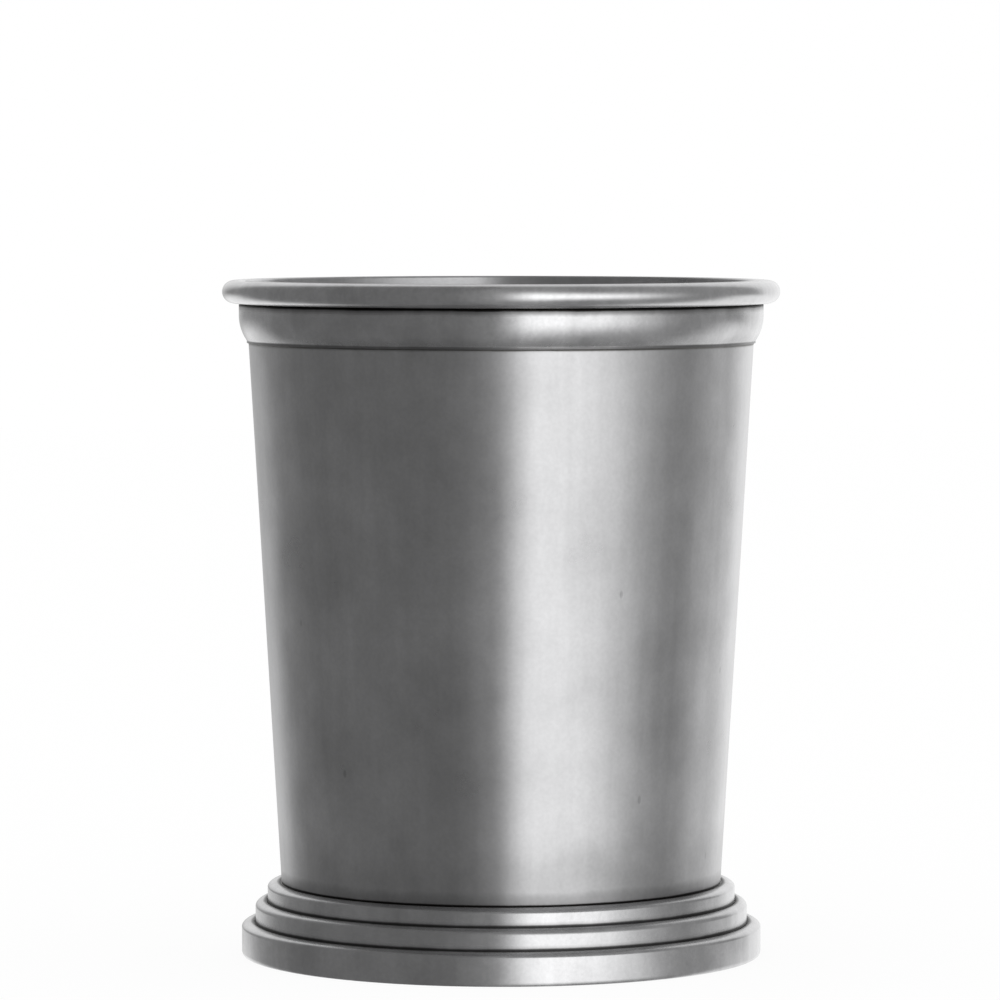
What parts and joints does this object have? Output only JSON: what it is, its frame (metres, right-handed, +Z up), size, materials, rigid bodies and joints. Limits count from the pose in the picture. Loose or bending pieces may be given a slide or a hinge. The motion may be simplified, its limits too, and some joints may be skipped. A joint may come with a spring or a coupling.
{
  "type": "julep cup",
  "caption": "Tapered metal drinking cup with a round wire and a moulded band at the rim, standing on a hollow stepped foot closed by a plate.",
  "frame": {"origin": "centre of the flat ring that the foot stands on", "axes": "+Z up along the cup's axis, from the foot to the mouth; X and Y are free, because the cup is round"},
  "size_m": [0.0892, 0.0892, 0.108],
  "materials": {
    "cup_sheet": "satin brushed round the cup, darkened with an antique patina",
    "rim_wire": "buffed round wire with a soft shine",
    "rim_band": "satin, dark in the line under its lip",
    "foot_sheet": "satin tiers with near-black patina in the sunk lines",
    "plate_sheet": "turned satin disc with light wear",
    "solder": "dull grey tin solder, darkened"
  },
  "bodies": {
    "root": {"cup_body": "cup_sheet", "rim_wire": "rim_wire", "rim_wire_solder": "solder", "rim_band": "rim_band", "rim_band_solder": "solder", "foot_shell": "foot_sheet", "foot_solder": "solder", "base_plate": "plate_sheet", "base_plate_solder": "solder"}
  },
  "joints": []
}
